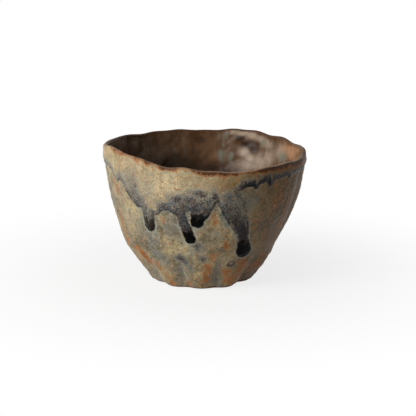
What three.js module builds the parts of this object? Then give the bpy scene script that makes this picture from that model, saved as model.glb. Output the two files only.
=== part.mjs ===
// A small hand-pinched stoneware cup with a run ash glaze, built in the order that a potter builds it:
// the clay body, a base coat outside, a liner coat inside, a second coat dipped from the lip downwards,
// the drips that hang from its lower edge, and the thin coat that is left over the lip.
// Millimetres, +Z up. The origin is the middle of the foot, and the front of the cup faces -Y.
// Angles are in degrees round the cup from its front, positive towards +X.
import * as THREE from "three";

// Clay body
const HEIGHT = 60.6; // foot to lip, before the lip's waves
const RIM_DIAMETER = 93.2;
const BELLY_DIAMETER = 80.2; // at half the height
const FOOT_DIAMETER = 49;
const WALL_AT_LIP = 1.3;
const WALL_AT_FLOOR = 5.2;
const FLOOR_THICKNESS = 6;
const FLOOR_FILLET = 11; // how far the rounded inside corner reaches up the wall and over the floor
const FOOT_RING_WIDTH = 7; // flat ring that the cup stands on, round a shallow hollow
const FOOT_HOLLOW = 0.8;
const FOOT_BEVEL = 0.6;

// Hand-forming: the wall leans to one side, and finger flutes draw it in above the foot
const LEAN = 1.5;
const LEAN_TOWARDS = -90;
const LEAN_FADES = [18, 45]; // heights between which the lean dies away
const FLUTE_DEPTH = 1.8;
const FLUTE_HALF_WIDTH = 9; // degrees
const FLUTE_TOP = 24; // height at which the flutes die away
const FLUTE_ANGLES = [-84, -52, -20, 13, 45, 79, 111, 146, 180, -149, -116];

// Where a hand pushed the low wall out, or in if negative, and how far round and up each push reaches
const PUSHES = [
  { angle: -80, height: 17, around: 28, up: 4.2, push: 0.85 },
  { angle: -75, height: 2, around: 26, up: 7, push: -1.15 },
  { angle: 78, height: 10, around: 26, up: 5, push: 0.95 },
  { angle: 52, height: 1, around: 12, up: 4, push: -1.6 },
  { angle: 18, height: 0, around: 10, up: 4, push: 1.1 },
];

// Rise of the lip above HEIGHT at angles round it
const LIP_RISE = [
  [-165, -0.4], [-150, -0.4], [-135, 0.2], [-120, 0.8], [-104, 1.5], [-92, 1.6], [-80, 3.3], [-64, 4.6],
  [-48, 3.9], [-32, 2.2], [-20, 0.5], [-12, 0.8], [0, -0.3], [16, -1.3], [34, -0.8], [50, -0.7], [74, -1.5],
  [98, -0.4], [116, -1.5], [128, -0.9], [142, -0.3], [158, 0.4], [172, -0.8],
];

// Glaze coats
const GLAZE_LINE = 0.9; // bare clay left above the foot
const BASE_COAT = 0.5;
const LINER_COAT = 0.5;
const DIP_COAT = 0.4;
const LIP_COAT = 0.35; // glaze runs thin over the crown of the lip
const LIP_BAND = 2.6; // depth below the lip's shoulder where the thin coat takes over outside

// Depth of the second coat's lower edge below HEIGHT, at angles round the cup
const DIP_DEPTH = [
  [-160, 11.5], [-140, 19], [-122, 17], [-105, 9], [-86, 7.4], [-66, 9.4], [-54, 14.4], [-48, 19],
  [-40, 22], [-30, 22.2], [-22, 19.2], [-16.5, 21.4], [-9, 19.2], [4, 17.6], [8, 12.8], [13, 12], [20, 9],
  [42, 6.6], [60, 5.4], [86, 5.8], [105, 9], [125, 15], [143, 19], [160, 16], [176, 9],
];

// Drips: angles at which each leaves the edge and ends, and run and widths as multiples of a usual drip's
const DRIP_RUN = 10;
const DRIP_WIDTH = 5;
const DRIP_LIFT = 1; // thickness of the bead at the lower end
const DRIP_GAP = 0.3;
const NECK_SHARE = 0.65; // share of the run over which the neck narrows to the bead
const DRIPS = [
  { name: "drip_left", from: -35.5, to: -36.6, runs: 0.88, neck: 1.3, bead: 1.1 },
  { name: "drip_middle_long", from: -14, to: -8.4, runs: 1.4, neck: 0.96, bead: 1 },
  { name: "drip_middle_short", from: -2, to: -6, runs: 0.72, neck: 1.6, bead: 1.06 },
  { name: "drip_right", from: 13.5, to: 32.6, runs: 3.2, neck: 2.32, bead: 1.56 },
  { name: "drip_back_right", from: 126, to: 124, runs: 0.8, neck: 1, bead: 1 },
  { name: "drip_back_middle", from: 146, to: 150, runs: 1.7, neck: 1.2, bead: 1.2 },
  { name: "drip_back_left", from: -140, to: -144, runs: 1.3, neck: 1.3, bead: 1.28 },
];

// Mesh counts
const AROUND = 90; // columns round the cup
const LOW_ROWS = 10; // glaze line to the second coat's edge
const DIP_ROWS = 4; // that edge to the lip's band
const BAND_ROWS = 1;
const LIP_ROWS = 4;
const INSIDE_ROWS = 6;
const FILLET_ROWS = 4;
const FLOOR_ROWS = 2;
const DRIP_AROUND = 12;
const DRIP_ROWS = 5; // along the straight stretch, and again round the lower end

// Colours read from the photograph
const GLAZES = {
  clay: { color: 0x8a6a4e, roughness: 0.9, metalness: 0 },
  base: { color: 0xa18c6c, roughness: 0.45, metalness: 0 },
  liner: { color: 0x6e5642, roughness: 0.2, metalness: 0 },
  dip: { color: 0xb09a74, roughness: 0.4, metalness: 0 },
  lip: { color: 0x6a4526, roughness: 0.4, metalness: 0 },
  drip: { color: 0x1b1716, roughness: 0.2, metalness: 0 },
};

const radians = THREE.MathUtils.degToRad;
const mix = THREE.MathUtils.lerp;
const ease = THREE.MathUtils.smoothstep;
const wrapped = (angle) => THREE.MathUtils.euclideanModulo(angle + 180, 360) - 180;

// A smooth closed curve through [angle, value] points, read at any angle.
function ringCurve(points) {
  const turn = [...points].sort((a, b) => a[0] - b[0]);
  const before = turn.slice(-2).map(([angle, value]) => [angle - 360, value]);
  const after = turn.slice(0, 2).map(([angle, value]) => [angle + 360, value]);
  const all = [...before, ...turn, ...after];
  const curve = new THREE.CubicInterpolant(
    all.map(([angle]) => angle),
    all.map(([, value]) => value),
    1,
  );
  return (angle) => curve.evaluate(wrapped(angle))[0];
}

const lipRise = ringCurve(LIP_RISE);
const dipDepth = ringCurve(DIP_DEPTH);

// Outside of the clay wall: one parabola through the foot, belly and rim radii, with height even in t
const footRadius = FOOT_DIAMETER / 2;
const rimRadius = RIM_DIAMETER / 2;
const bellyControl = BELLY_DIAMETER - (footRadius + rimRadius) / 2;
const outside = new THREE.QuadraticBezierCurve(
  new THREE.Vector2(footRadius, 0),
  new THREE.Vector2(bellyControl, HEIGHT / 2),
  new THREE.Vector2(rimRadius, HEIGHT),
);
const lipRadius = WALL_AT_LIP / 2;
const shoulder = HEIGHT - lipRadius; // where the wall meets the rounded lip
const bandHeight = shoulder - LIP_BAND;
const filletTop = FLOOR_THICKNESS + FLOOR_FILLET;

const outsideAt = (height) => outside.getPoint(height / HEIGHT);

// Height of the second coat's edge, which runs straight from one column of the mesh to the next.
function edgeAt(angle) {
  const columnStep = 360 / AROUND;
  const column = Math.floor(angle / columnStep);
  const [here, next] = [column, column + 1].map((at) => dipDepth(at * columnStep));
  return HEIGHT - mix(here, next, angle / columnStep - column);
}

function insideAt(height) {
  const up = (height - FLOOR_THICKNESS) / (shoulder - FLOOR_THICKNESS);
  const wall = mix(WALL_AT_FLOOR, WALL_AT_LIP, up);
  return new THREE.Vector2(outsideAt(height).x - wall, height);
}

// The glazed skin of the clay at one angle, from the glaze line over the lip to the middle of the floor.
function skinAt(angle) {
  const edge = edgeAt(angle);
  const skin = [];
  const add = (rows, pointAt) => {
    for (let row = 1; row <= rows; row++) skin.push(pointAt(row / rows));
  };
  skin.push(outsideAt(GLAZE_LINE));
  add(LOW_ROWS, (t) => outsideAt(mix(GLAZE_LINE, edge, t)));
  add(DIP_ROWS, (t) => outsideAt(mix(edge, bandHeight, t)));
  add(BAND_ROWS, (t) => outsideAt(mix(bandHeight, shoulder, t)));
  const crown = outsideAt(shoulder).sub(new THREE.Vector2(lipRadius, 0));
  add(LIP_ROWS, (t) => {
    const round = Math.PI * t;
    return new THREE.Vector2(crown.x + lipRadius * Math.cos(round), crown.y + lipRadius * Math.sin(round));
  });
  add(INSIDE_ROWS, (t) => insideAt(mix(shoulder, filletTop, t)));
  const corner = insideAt(FLOOR_THICKNESS);
  const fillet = new THREE.QuadraticBezierCurve(
    insideAt(filletTop),
    corner,
    new THREE.Vector2(Math.max(corner.x - FLOOR_FILLET, corner.x / 2), FLOOR_THICKNESS),
  );
  add(FILLET_ROWS, (t) => fillet.getPoint(t));
  const floorEdge = skin.at(-1).x;
  add(FLOOR_ROWS, (t) => new THREE.Vector2(floorEdge * (1 - t), FLOOR_THICKNESS));
  return skin;
}

// Rows of the skin where one coat hands over to the next
const EDGE_ROW = LOW_ROWS;
const BAND_ROW = EDGE_ROW + DIP_ROWS;
const LIP_END_ROW = BAND_ROW + BAND_ROWS + LIP_ROWS;
const LAST_ROW = LIP_END_ROW + INSIDE_ROWS + FILLET_ROWS + FLOOR_ROWS;

// A point of the skin lifted off the clay by a glaze thickness.
function lifted(skin, row, thickness) {
  const point = skin[row].clone();
  if (row === LAST_ROW) return point.setY(point.y + thickness);
  const along = skin[row + 1].clone().sub(skin[Math.max(row - 1, 0)]);
  return point.add(new THREE.Vector2(along.y, -along.x).setLength(thickness));
}

// How far the pushes move the wall out at a height and an angle.
function pushedOut(height, angle) {
  return PUSHES.reduce((total, at) => {
    const away = (wrapped(angle - at.angle) / at.around) ** 2 + ((height - at.height) / at.up) ** 2;
    return total + at.push * Math.exp(-away);
  }, 0);
}

// Round cup to hand-formed cup: finger marks, pushes, lean and the lip's waves, all fading towards the axis.
function handFormed(point, angle) {
  const up = Math.max(point.y, 0) / HEIGHT;
  const share = point.x / outside.getPoint(up).x;
  const flutes = FLUTE_ANGLES.map((at) => Math.exp(-((wrapped(angle - at) / FLUTE_HALF_WIDTH) ** 2)));
  const drawnIn = FLUTE_DEPTH * Math.max(...flutes) * (1 - ease(point.y, 0, FLUTE_TOP));
  const leaned = LEAN * Math.cos(radians(angle - LEAN_TOWARDS)) * (1 - ease(point.y, ...LEAN_FADES));
  const radius = point.x + share * (leaned + pushedOut(point.y, angle) - drawnIn);
  const height = point.y + share * lipRise(angle) * up ** 2;
  const turn = radians(angle);
  return new THREE.Vector3(radius * Math.sin(turn), -radius * Math.cos(turn), height);
}

// A solid from columns of points side by side, the last next to the first. Each column runs from pole to
// pole or ends where it began. Every face is split along its shorter diagonal, so two solids that share a
// face split it alike.
function solidFrom(columns) {
  const rows = columns[0].length;
  const corners = [];
  columns.forEach((column, here) => {
    const there = (here + 1) % columns.length;
    for (let row = 0; row + 1 < rows; row++) {
      const [a, b] = [here * rows + row, there * rows + row];
      const [c, d] = [b + 1, a + 1];
      const rising = column[row].distanceTo(columns[there][row + 1]);
      const falling = columns[there][row].distanceTo(column[row + 1]);
      if (rising < falling) corners.push(a, b, c, a, c, d);
      else corners.push(a, b, d, b, c, d);
    }
  });
  const geometry = new THREE.BufferGeometry().setFromPoints(columns.flat());
  geometry.setIndex(corners);
  geometry.computeVertexNormals();
  return geometry;
}

// A solid of the hand-formed cup from its section at each angle.
function potSolid(sectionAt) {
  const angles = Array.from({ length: AROUND }, (_, column) => (360 * column) / AROUND);
  return solidFrom(angles.map((angle) => sectionAt(angle).map((point) => handFormed(point, angle))));
}

function named(name, geometry, glaze) {
  const mesh = new THREE.Mesh(geometry, new THREE.MeshStandardMaterial(glaze));
  mesh.name = name;
  return mesh;
}

// The clay: underside with its hollow, standing ring, wall, lip, inside and floor.
function clayBody() {
  const ringInside = footRadius - FOOT_RING_WIDTH;
  const sectionAt = (angle) => [
    new THREE.Vector2(0, FOOT_HOLLOW),
    new THREE.Vector2(ringInside - FOOT_BEVEL, FOOT_HOLLOW),
    new THREE.Vector2(ringInside, 0),
    new THREE.Vector2(footRadius - FOOT_BEVEL, 0),
    ...skinAt(angle),
  ];
  return named("clay_body", potSolid(sectionAt), GLAZES.clay);
}

// Section of a coat over some rows of the skin: along its under side, and back along its upper side.
function coatSection(angle, fromRow, toRow, under, over) {
  const skin = skinAt(angle);
  const rows = Array.from({ length: toRow - fromRow + 1 }, (_, i) => fromRow + i);
  const lower = rows.map((row) => lifted(skin, row, under(row)));
  const upper = rows.map((row) => lifted(skin, row, over(row)));
  return [...lower.reverse(), ...upper];
}

const bare = () => 0;
const baseOver = () => BASE_COAT;
const dipOver = () => BASE_COAT + DIP_COAT;
const linerOver = () => LINER_COAT;

// Full thickness at the band's foot, thinnest on the crown of the lip, and the liner's thickness inside.
function lipOver(row) {
  const crownRow = LIP_END_ROW - LIP_ROWS / 2;
  if (row <= crownRow) return mix(dipOver(), LIP_COAT, (row - BAND_ROW) / (crownRow - BAND_ROW));
  return mix(LIP_COAT, LINER_COAT, (row - crownRow) / (LIP_END_ROW - crownRow));
}

const closed = (section) => [...section, section[0]];

function baseGlaze() {
  const sectionAt = (angle) => closed(coatSection(angle, 0, BAND_ROW, bare, baseOver));
  return named("base_glaze", potSolid(sectionAt), GLAZES.base);
}

function dipGlaze() {
  const sectionAt = (angle) => closed(coatSection(angle, EDGE_ROW, BAND_ROW, baseOver, dipOver));
  return named("dip_glaze", potSolid(sectionAt), GLAZES.dip);
}

// The lip's coat stands on the ends of both coats below it, so its section has their meeting point too.
function lipGlaze() {
  const sectionAt = (angle) => {
    const section = coatSection(angle, BAND_ROW, LIP_END_ROW, bare, lipOver);
    const meeting = lifted(skinAt(angle), BAND_ROW, BASE_COAT);
    section.splice(section.length / 2, 0, meeting);
    return closed(section);
  };
  return named("lip_glaze", potSolid(sectionAt), GLAZES.lip);
}

// The liner's section starts and ends on the axis, at the middle of the floor.
function linerGlaze() {
  const sectionAt = (angle) => coatSection(angle, LIP_END_ROW, LAST_ROW, bare, linerOver);
  return named("liner_glaze", potSolid(sectionAt), GLAZES.liner);
}

// A drip: a domed tongue on the base coat, with a blunt top along the second coat's edge and a round end.
function drip({ name, from, to, runs, neck, bead }) {
  const length = runs * DRIP_RUN;
  const roundEnd = (bead * DRIP_WIDTH) / 2;
  const straight = length - roundEnd;
  const rows = [{ down: 0, half: 0, thick: 0 }];
  for (let row = 0; row <= DRIP_ROWS; row++) {
    const t = row / DRIP_ROWS;
    const down = straight * t;
    const half = mix((neck * DRIP_WIDTH) / 2, roundEnd, ease(down / length, 0, NECK_SHARE));
    rows.push({ down, half, thick: mix(DIP_COAT, DRIP_LIFT, t) });
  }
  for (let row = 1; row <= DRIP_ROWS; row++) {
    const round = ((Math.PI / 2) * row) / DRIP_ROWS;
    const down = straight + roundEnd * Math.sin(round);
    rows.push({ down, half: roundEnd * Math.cos(round), thick: DRIP_LIFT * Math.cos(round) });
  }
  const columns = Array.from({ length: DRIP_AROUND }, (_, column) => {
    const round = (2 * Math.PI * column) / DRIP_AROUND;
    return rows.map(({ down, half, thick }) => {
      const along = down / length;
      const reach = half * Math.cos(round);
      const spread = THREE.MathUtils.radToDeg(reach / outsideAt(edgeAt(from) - down).x);
      const edge = mix(edgeAt(from + spread), edgeAt(from), ease(along, 0, 0.5));
      const proud = BASE_COAT + DRIP_GAP + thick * Math.max(Math.sin(round), 0);
      return handFormed(wallPoint(edge - DRIP_GAP - down, proud), mix(from, to, along) + spread);
    });
  });
  return named(name, solidFrom(columns), GLAZES.drip);
}

// A point outside the clay wall at a height, lifted square to it.
function wallPoint(height, thickness) {
  const slope = outside.getTangent(height / HEIGHT);
  return outsideAt(height).add(new THREE.Vector2(slope.y, -slope.x).multiplyScalar(thickness));
}

const cup = new THREE.Group();
cup.add(clayBody(), baseGlaze(), linerGlaze(), dipGlaze(), lipGlaze(), ...DRIPS.map(drip));

export default cup;
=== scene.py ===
# A hand-pinched stoneware cup with a run ash glaze: clay, glaze coats, drips, and a plain studio.
import math
from typing import NamedTuple

import bmesh
import bpy
import numpy as np
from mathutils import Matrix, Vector


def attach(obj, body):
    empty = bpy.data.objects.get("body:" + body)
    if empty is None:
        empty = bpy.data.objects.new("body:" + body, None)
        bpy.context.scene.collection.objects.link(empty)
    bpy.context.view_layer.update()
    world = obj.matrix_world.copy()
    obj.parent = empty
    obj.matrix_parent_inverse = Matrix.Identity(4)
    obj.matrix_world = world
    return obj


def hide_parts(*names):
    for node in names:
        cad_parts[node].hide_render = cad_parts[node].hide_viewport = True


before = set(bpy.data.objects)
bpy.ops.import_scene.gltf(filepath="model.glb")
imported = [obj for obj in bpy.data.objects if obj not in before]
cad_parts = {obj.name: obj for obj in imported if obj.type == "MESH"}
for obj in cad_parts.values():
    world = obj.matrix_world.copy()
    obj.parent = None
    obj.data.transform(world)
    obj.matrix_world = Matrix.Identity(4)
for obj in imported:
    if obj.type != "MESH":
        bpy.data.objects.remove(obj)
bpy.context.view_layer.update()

# The form, in millimetres and degrees, with the values of the solids.
# Angles go round the cup from its front (-Y), positive towards +X.
MM = 0.001
HEIGHT = 60.6
RIM_RADIUS = 46.6
BELLY_RADIUS = 40.1
FOOT_RADIUS = 24.5
WALL_AT_LIP = 1.3
WALL_AT_FLOOR = 5.2
FLOOR_THICKNESS = 6
FLOOR_FILLET = 11
FOOT_RING_WIDTH = 7
FOOT_HOLLOW = 0.8
FOOT_BEVEL = 0.6
LEAN = 1.5
LEAN_TOWARDS = -90
LEAN_FADES = (18, 45)
FLUTE_DEPTH = 1.8
FLUTE_HALF_WIDTH = 9
FLUTE_TOP = 24
FLUTE_ANGLES = (-84, -52, -20, 13, 45, 79, 111, 146, 180, -149, -116)
# Where a hand pushed the low wall out or in: angle, height, reach round, reach up, push
PUSHES = (
    (-80, 17, 28, 4.2, 0.85), (-75, 2, 26, 7, -1.15), (78, 10, 26, 5, 0.95), (52, 1, 12, 4, -1.6),
    (18, 0, 10, 4, 1.1),
)
# Rise of the lip above HEIGHT, at angles round it
LIP_RISE = (
    (-165, -0.4), (-150, -0.4), (-135, 0.2), (-120, 0.8), (-104, 1.5), (-92, 1.6), (-80, 3.3), (-64, 4.6),
    (-48, 3.9), (-32, 2.2), (-20, 0.5), (-12, 0.8), (0, -0.3), (16, -1.3), (34, -0.8), (50, -0.7),
    (74, -1.5), (98, -0.4), (116, -1.5), (128, -0.9), (142, -0.3), (158, 0.4), (172, -0.8),
)
GLAZE_LINE = 0.9
BASE_COAT = 0.5
LINER_COAT = 0.5
DIP_COAT = 0.4
LIP_COAT = 0.35
LIP_BAND = 2.6
# Depth of the second coat's lower edge below HEIGHT, at angles round the cup
DIP_DEPTH = (
    (-160, 11.5), (-140, 19), (-122, 17), (-105, 9), (-86, 7.4), (-66, 9.4), (-54, 14.4), (-48, 19),
    (-40, 22), (-30, 22.2), (-22, 19.2), (-16.5, 21.4), (-9, 19.2), (4, 17.6), (8, 12.8), (13, 12),
    (20, 9), (42, 6.6), (60, 5.4), (86, 5.8), (105, 9), (125, 15), (143, 19), (160, 16), (176, 9),
)
NECK_SHARE = 0.65


class Drip(NamedTuple):
    """One drip: its node, place and sizes as in the solids, then its looks."""

    node: str
    top_angle: float
    tip_angle: float
    run: float
    neck: float  # width at the top
    bead: float  # width at the lower end
    waist: float  # how far each side is drawn in above the bead
    black: float  # blackness of the lower end
    black_length: float
    slate_from: float  # shares of the run between which its grey changes
    slate_to: float
    trail: float  # strength of the pale trail below it

    def top(self):
        return HEIGHT - around(DIP_DEPTH, self.top_angle)

    def tip(self):
        return self.top() - self.run


DRIPS = (
    Drip("drip_left", -35.5, -36.6, 8.8, 6.5, 5.5, 0.2, 0.6, 7, 0.1, 0.5, 1),
    Drip("drip_middle_long", -14, -8.4, 14, 4.8, 5, 0.1, 1.1, 6.6, 0.2, 0.5, 1),
    Drip("drip_middle_short", -2, -6, 7.2, 8, 5.3, 0, 1.15, 6.8, 0, 0.2, 0.5),
    Drip("drip_right", 13.5, 32.6, 32, 11.6, 7.8, 1.3, 1.3, 10, 0.1, 0.6, 0.1),
    Drip("drip_back_right", 126, 124, 8, 5, 5, 0.2, 0.7, 5, 0.2, 0.6, 1),
    Drip("drip_back_middle", 146, 150, 17, 6, 6, 0.6, 1.1, 8, 0.3, 0.6, 1),
    Drip("drip_back_left", -140, -144, 13, 6.5, 6.4, 0.4, 1.1, 7, 0.2, 0.6, 1),
)

# Fine forming that only the looks have. RISES and FADES are where a form comes in and where it dies away.
PLEAT_DEPTH = 0.8  # narrow groove down the middle of each flute
PLEAT_HALF_WIDTH = 3.2
PLEAT_RISES = (1, 5)
PLEAT_FADES = (10, FLUTE_TOP)
PINCH_DEPTH = 0.5  # groove in the right side of the wall
PINCH_ANGLE = 70
PINCH_HALF_WIDTH = 4
PINCH_RISES = (22, 34)
PINCH_FADES = (52, 60)
LUMP_WAVES = 28
LUMP_SPREAD = (0.7, 1.4)


class Lumps(NamedTuple):
    """Smooth random relief: its depth and the size of its lumps, in millimetres, and its seed."""

    depth: float
    size: float
    seed: int

    def at(self, angle, height):
        """Relief at points of the wall, mostly within 1.5 times the depth."""
        pick = np.random.default_rng(self.seed)
        turn = np.radians(angle)
        total = 0
        for _ in range(LUMP_WAVES):
            heading = pick.uniform(0, math.pi)
            pace = 2 * math.pi / (self.size * pick.uniform(*LUMP_SPREAD))
            waves_round = round(pace * math.cos(heading) * BELLY_RADIUS)
            start = pick.uniform(0, 2 * math.pi)
            total = total + np.sin(waves_round * turn + pace * math.sin(heading) * height + start)
        return self.depth * total / math.sqrt(LUMP_WAVES / 2)


DENTS = Lumps(0.14, 17, seed=3)
DENT_RISES = (0.06, 0.3)  # as shares of the height
DENT_OUTWARDS = (0.5, 0.8)  # as shares of the outside radius
RIPPLE = Lumps(0.18, 11, seed=5)  # of the lip
RIPPLE_RISES = (0.82, 1)  # as shares of the height
GLAZE_LUMPS = (Lumps(0.045, 4, seed=21), Lumps(0.0225, 1.9, seed=22))
LINER_LUMPS = (Lumps(0.07, 9, seed=41), Lumps(0.02, 4, seed=42))
LINER_RISES = (0, 4)  # below the lip's coat
LINER_OUTWARDS = (20, 38)  # in radius
# Burst bubbles: angle, height, radius
CRATERS = ((22, 14, 1.8), (-1, 17, 0.9), (118, 26, 1.2), (-168, 31, 1.1), (-72, 33, 0.8))
CRATER_RIM = 0.2
CRATER_PIT = 0.22

# Edges of the coats
EDGE_WAVE = Lumps(0.2, 6, seed=11)
EDGE_FRAY = Lumps(0.12, 2.6, seed=12)
LINE_WAVE = Lumps(0.25, 9, seed=31)
BASE_ROLL = 0.5  # how far in from its edge each coat reaches its full thickness
COAT_ROLL = 3
LIP_THINS = (0.4, 5.2)  # how far below the crown the outer coats run thin
SINK = 0.25  # how far a coat's hidden border lies under the coat below it
SINK_SLOPE = 0.7
HIDDEN_BORDER = 2.6  # how far the second coat's mesh goes below its edge
DIP_UNDER = 0.1  # height of the second coat's under face above the clay
CLAY_CLEAR = 0.03  # clay kept clear of the glaze over it
FOOT_GROOVE = 0.12  # turned grooves in the foot's hollow
FOOT_GROOVE_PACE = 2.4
# Lobes of the second coat's edge: angle, reach round, drop
EDGE_LOBES = (
    (-61, 2.4, 2), (-56, 1.6, -1.2), (-29.5, 2, 1.2), (-21, 3, 0.6), (24, 4, -0.8), (30, 1.8, 2.2),
    (36.5, 3, -0.6), (40, 1.6, 2), (56, 2, 1.4), (74, 3, 0.8), (98, 2, 1.5), (112, 2.5, -1),
    (165, 2, 1.6), (-172, 2.5, 1.4), (-152, 2, -1), (-112, 2, 1.5),
)

# Drips, in millimetres or in shares of a run
DRIP_LIFT = 1.15  # thickness of the bead
DRIP_SWELLS = 0.9  # where it has that thickness
DRIP_OVERLAP = 4  # how far a drip reaches up into its coat
DRIP_TAKES_OVER = (-1, 1)  # how much further into the drip than into the coat
DRIP_NEAR = (-2.5, 0)
WAIST_AT = 0.67
WAIST_REACH = 0.15
BLACK_EDGE = (-0.25, 0.25)
BLACK_FADES = (-2.8, 2.6)  # about the end of the black
BLACK_RAGGED = Lumps(0.8, 3, seed=14)
LINE_UNDER_DRIP = 0.25  # how much of the coat's black line shows in a drip
TRAIL_HALF_WIDTH = 2.6
TRAIL_RISES = (-6, 0)
TRAIL_FADES = (2, 14)
TONGUE_MARGIN = 0.7  # how far a drip's mesh goes past its tip
TONGUE_SIDE = 1.05  # how far it goes past its sides
TONGUE_UNDER = 0.13  # height of its under face above the clay
TONGUE_FOLLOWS = 3  # length over which it leaves the coat's edge

# Paint at angles round the cup: blackness and width of the second coat's edge
EDGE_INK = (
    (-160, 0.6), (-130, 0.5), (-105, 0.3), (-86, 0.1), (-60, 0.12), (-45, 0.2), (-24, 0.3), (-9, 0.2),
    (2, 0.3), (8, 0.4), (15, 0.1), (18, 0.3), (22, 0.95), (32, 1.1), (48, 1), (62, 1), (74, 0.75),
    (86, 0.7), (110, 0.7), (140, 0.5), (170, 0.8),
)
EDGE_WIDTH = (
    (-160, 1.6), (-105, 1.4), (-70, 1.4), (-45, 1.6), (0, 1.3), (22, 2.3), (45, 2.1), (70, 1.4),
    (120, 1.6), (165, 2),
)
INK_OUTSIDE = 0.7  # width of that edge on its outer side
# How far the grey reaches above that edge, and how dark it is
GREY_REACH = (
    (-160, 7), (-140, 10), (-122, 8), (-105, 4), (-86, 3.6), (-66, 4.4), (-52, 5), (-40, 6), (-33, 3.6),
    (-26, 4), (-19, 8), (-13, 11), (-8, 9.5), (-2, 10), (3, 8.5), (7, 3.6), (14, 4.2), (20, 4.4),
    (33, 4.6), (42, 4), (60, 2.5), (86, 3), (125, 8), (143, 10), (176, 4),
)
GREY_DEPTH = (
    (-160, 1), (-130, 0.95), (-105, 0.9), (-86, 0.78), (-60, 0.8), (-46, 0.96), (-30, 1), (20, 1),
    (60, 0.9), (120, 0.95),
)
# Width of the iron-brown band below the lip's crown
IRON_WIDTH = (
    (-100, 1), (-84, 0.7), (-72, 0.6), (-64, 1.2), (-59, 2.1), (-53, 1.2), (-45, 1.2), (-42, 1.8),
    (-37, 1.2), (-33, 1.7), (-28, 1.1), (-23, 2.2), (-17, 2), (-12, 1), (-5, 1.8), (2, 2.2), (12, 2.2),
    (20, 1.6), (26, 2.1), (34, 2.5), (48, 2.9), (70, 3), (90, 2.2), (130, 1.6), (170, 1.9), (-150, 1.5),
)
# How pale the crown of the lip is: pale glaze with a painted highlight along the lip's top, on the front
# half only
PALE_LIP_AND_HIGHLIGHT = (
    (-120, 0), (-90, 0.4), (-62, 0.4), (-50, 0.2), (-25, 0.25), (8, 0.55), (30, 0.9), (60, 0.8),
    (78, 0.3), (100, 0.2), (130, 0.1), (180, 0),
)
# How far the glaze is made browner and darker, most on the right side and at the back
BROWN = (
    (-150, 0.3), (-110, 0.1), (-60, 0), (-10, 0), (18, 0.25), (32, 0.9), (44, 1.2), (70, 1.5), (110, 1),
    (150, 0.5),
)
# Blots on the outside: angle, height, reach round, reach up, strength
RUST_BLOTS = (
    (6.2, 18.5, 2.8, 4, 1.1), (3, 12.4, 3.6, 4, 1.1), (1.4, 6.5, 3.8, 4.6, 1.15), (20, 9, 5.4, 4, 1.15),
    (26, 6.5, 5.4, 3.8, 1.1), (22, 4, 6, 2.6, 0.8), (33, 13.5, 5, 4.4, 1.15), (35, 9, 5.4, 4, 1.15),
    (48, 8.7, 6, 6, 0.85), (54, 12, 6, 7, 0.75), (-58.8, 18, 1.6, 1.6, 1.1), (-55.5, 19.5, 2.4, 1, 1.15),
    (-53.6, 15.6, 4.2, 3, 1.25), (-51.8, 13.4, 3.8, 2.8, 1.25), (-49.6, 11.5, 2.6, 2.4, 1.2),
    (-39, 10.3, 2, 4, 0.95), (-38, 6.5, 2.4, 3.4, 1), (-33, 2.5, 4, 2, 1.1), (-17, 3, 5, 2, 0.8),
    (-68, 28, 2.6, 12, 1.05), (15.5, 24, 2.4, 3.4, 0.95), (14.5, 31, 3, 3.4, 0.95),
    (-25, 35.5, 1.3, 1.8, 1.3), (-14, 30, 2, 4, 0.5), (-4, 27, 1.6, 4, 0.5), (5, 42, 2.4, 4.2, 0.75),
    (6.4, 36.5, 2.8, 3.2, 0.85), (62, 28, 22, 30, 0.45), (47, 45, 8, 9, 0.6), (33, 36, 4, 6, 0.5),
    (30, 32, 3, 3, 0.6), (40, 4, 8, 4, 0.85), (-63, 45, 3.5, 3.4, 0.85), (24, 43, 3, 5, 0.6),
    (98, 15, 7, 7, 0.9), (138, 9, 8, 6, 1), (175, 9, 6, 5, 1), (-162, 17, 5, 7, 0.8), (-122, 10, 7, 6, 1),
    (-100, 22, 4, 6, 0.7),
)
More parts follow.
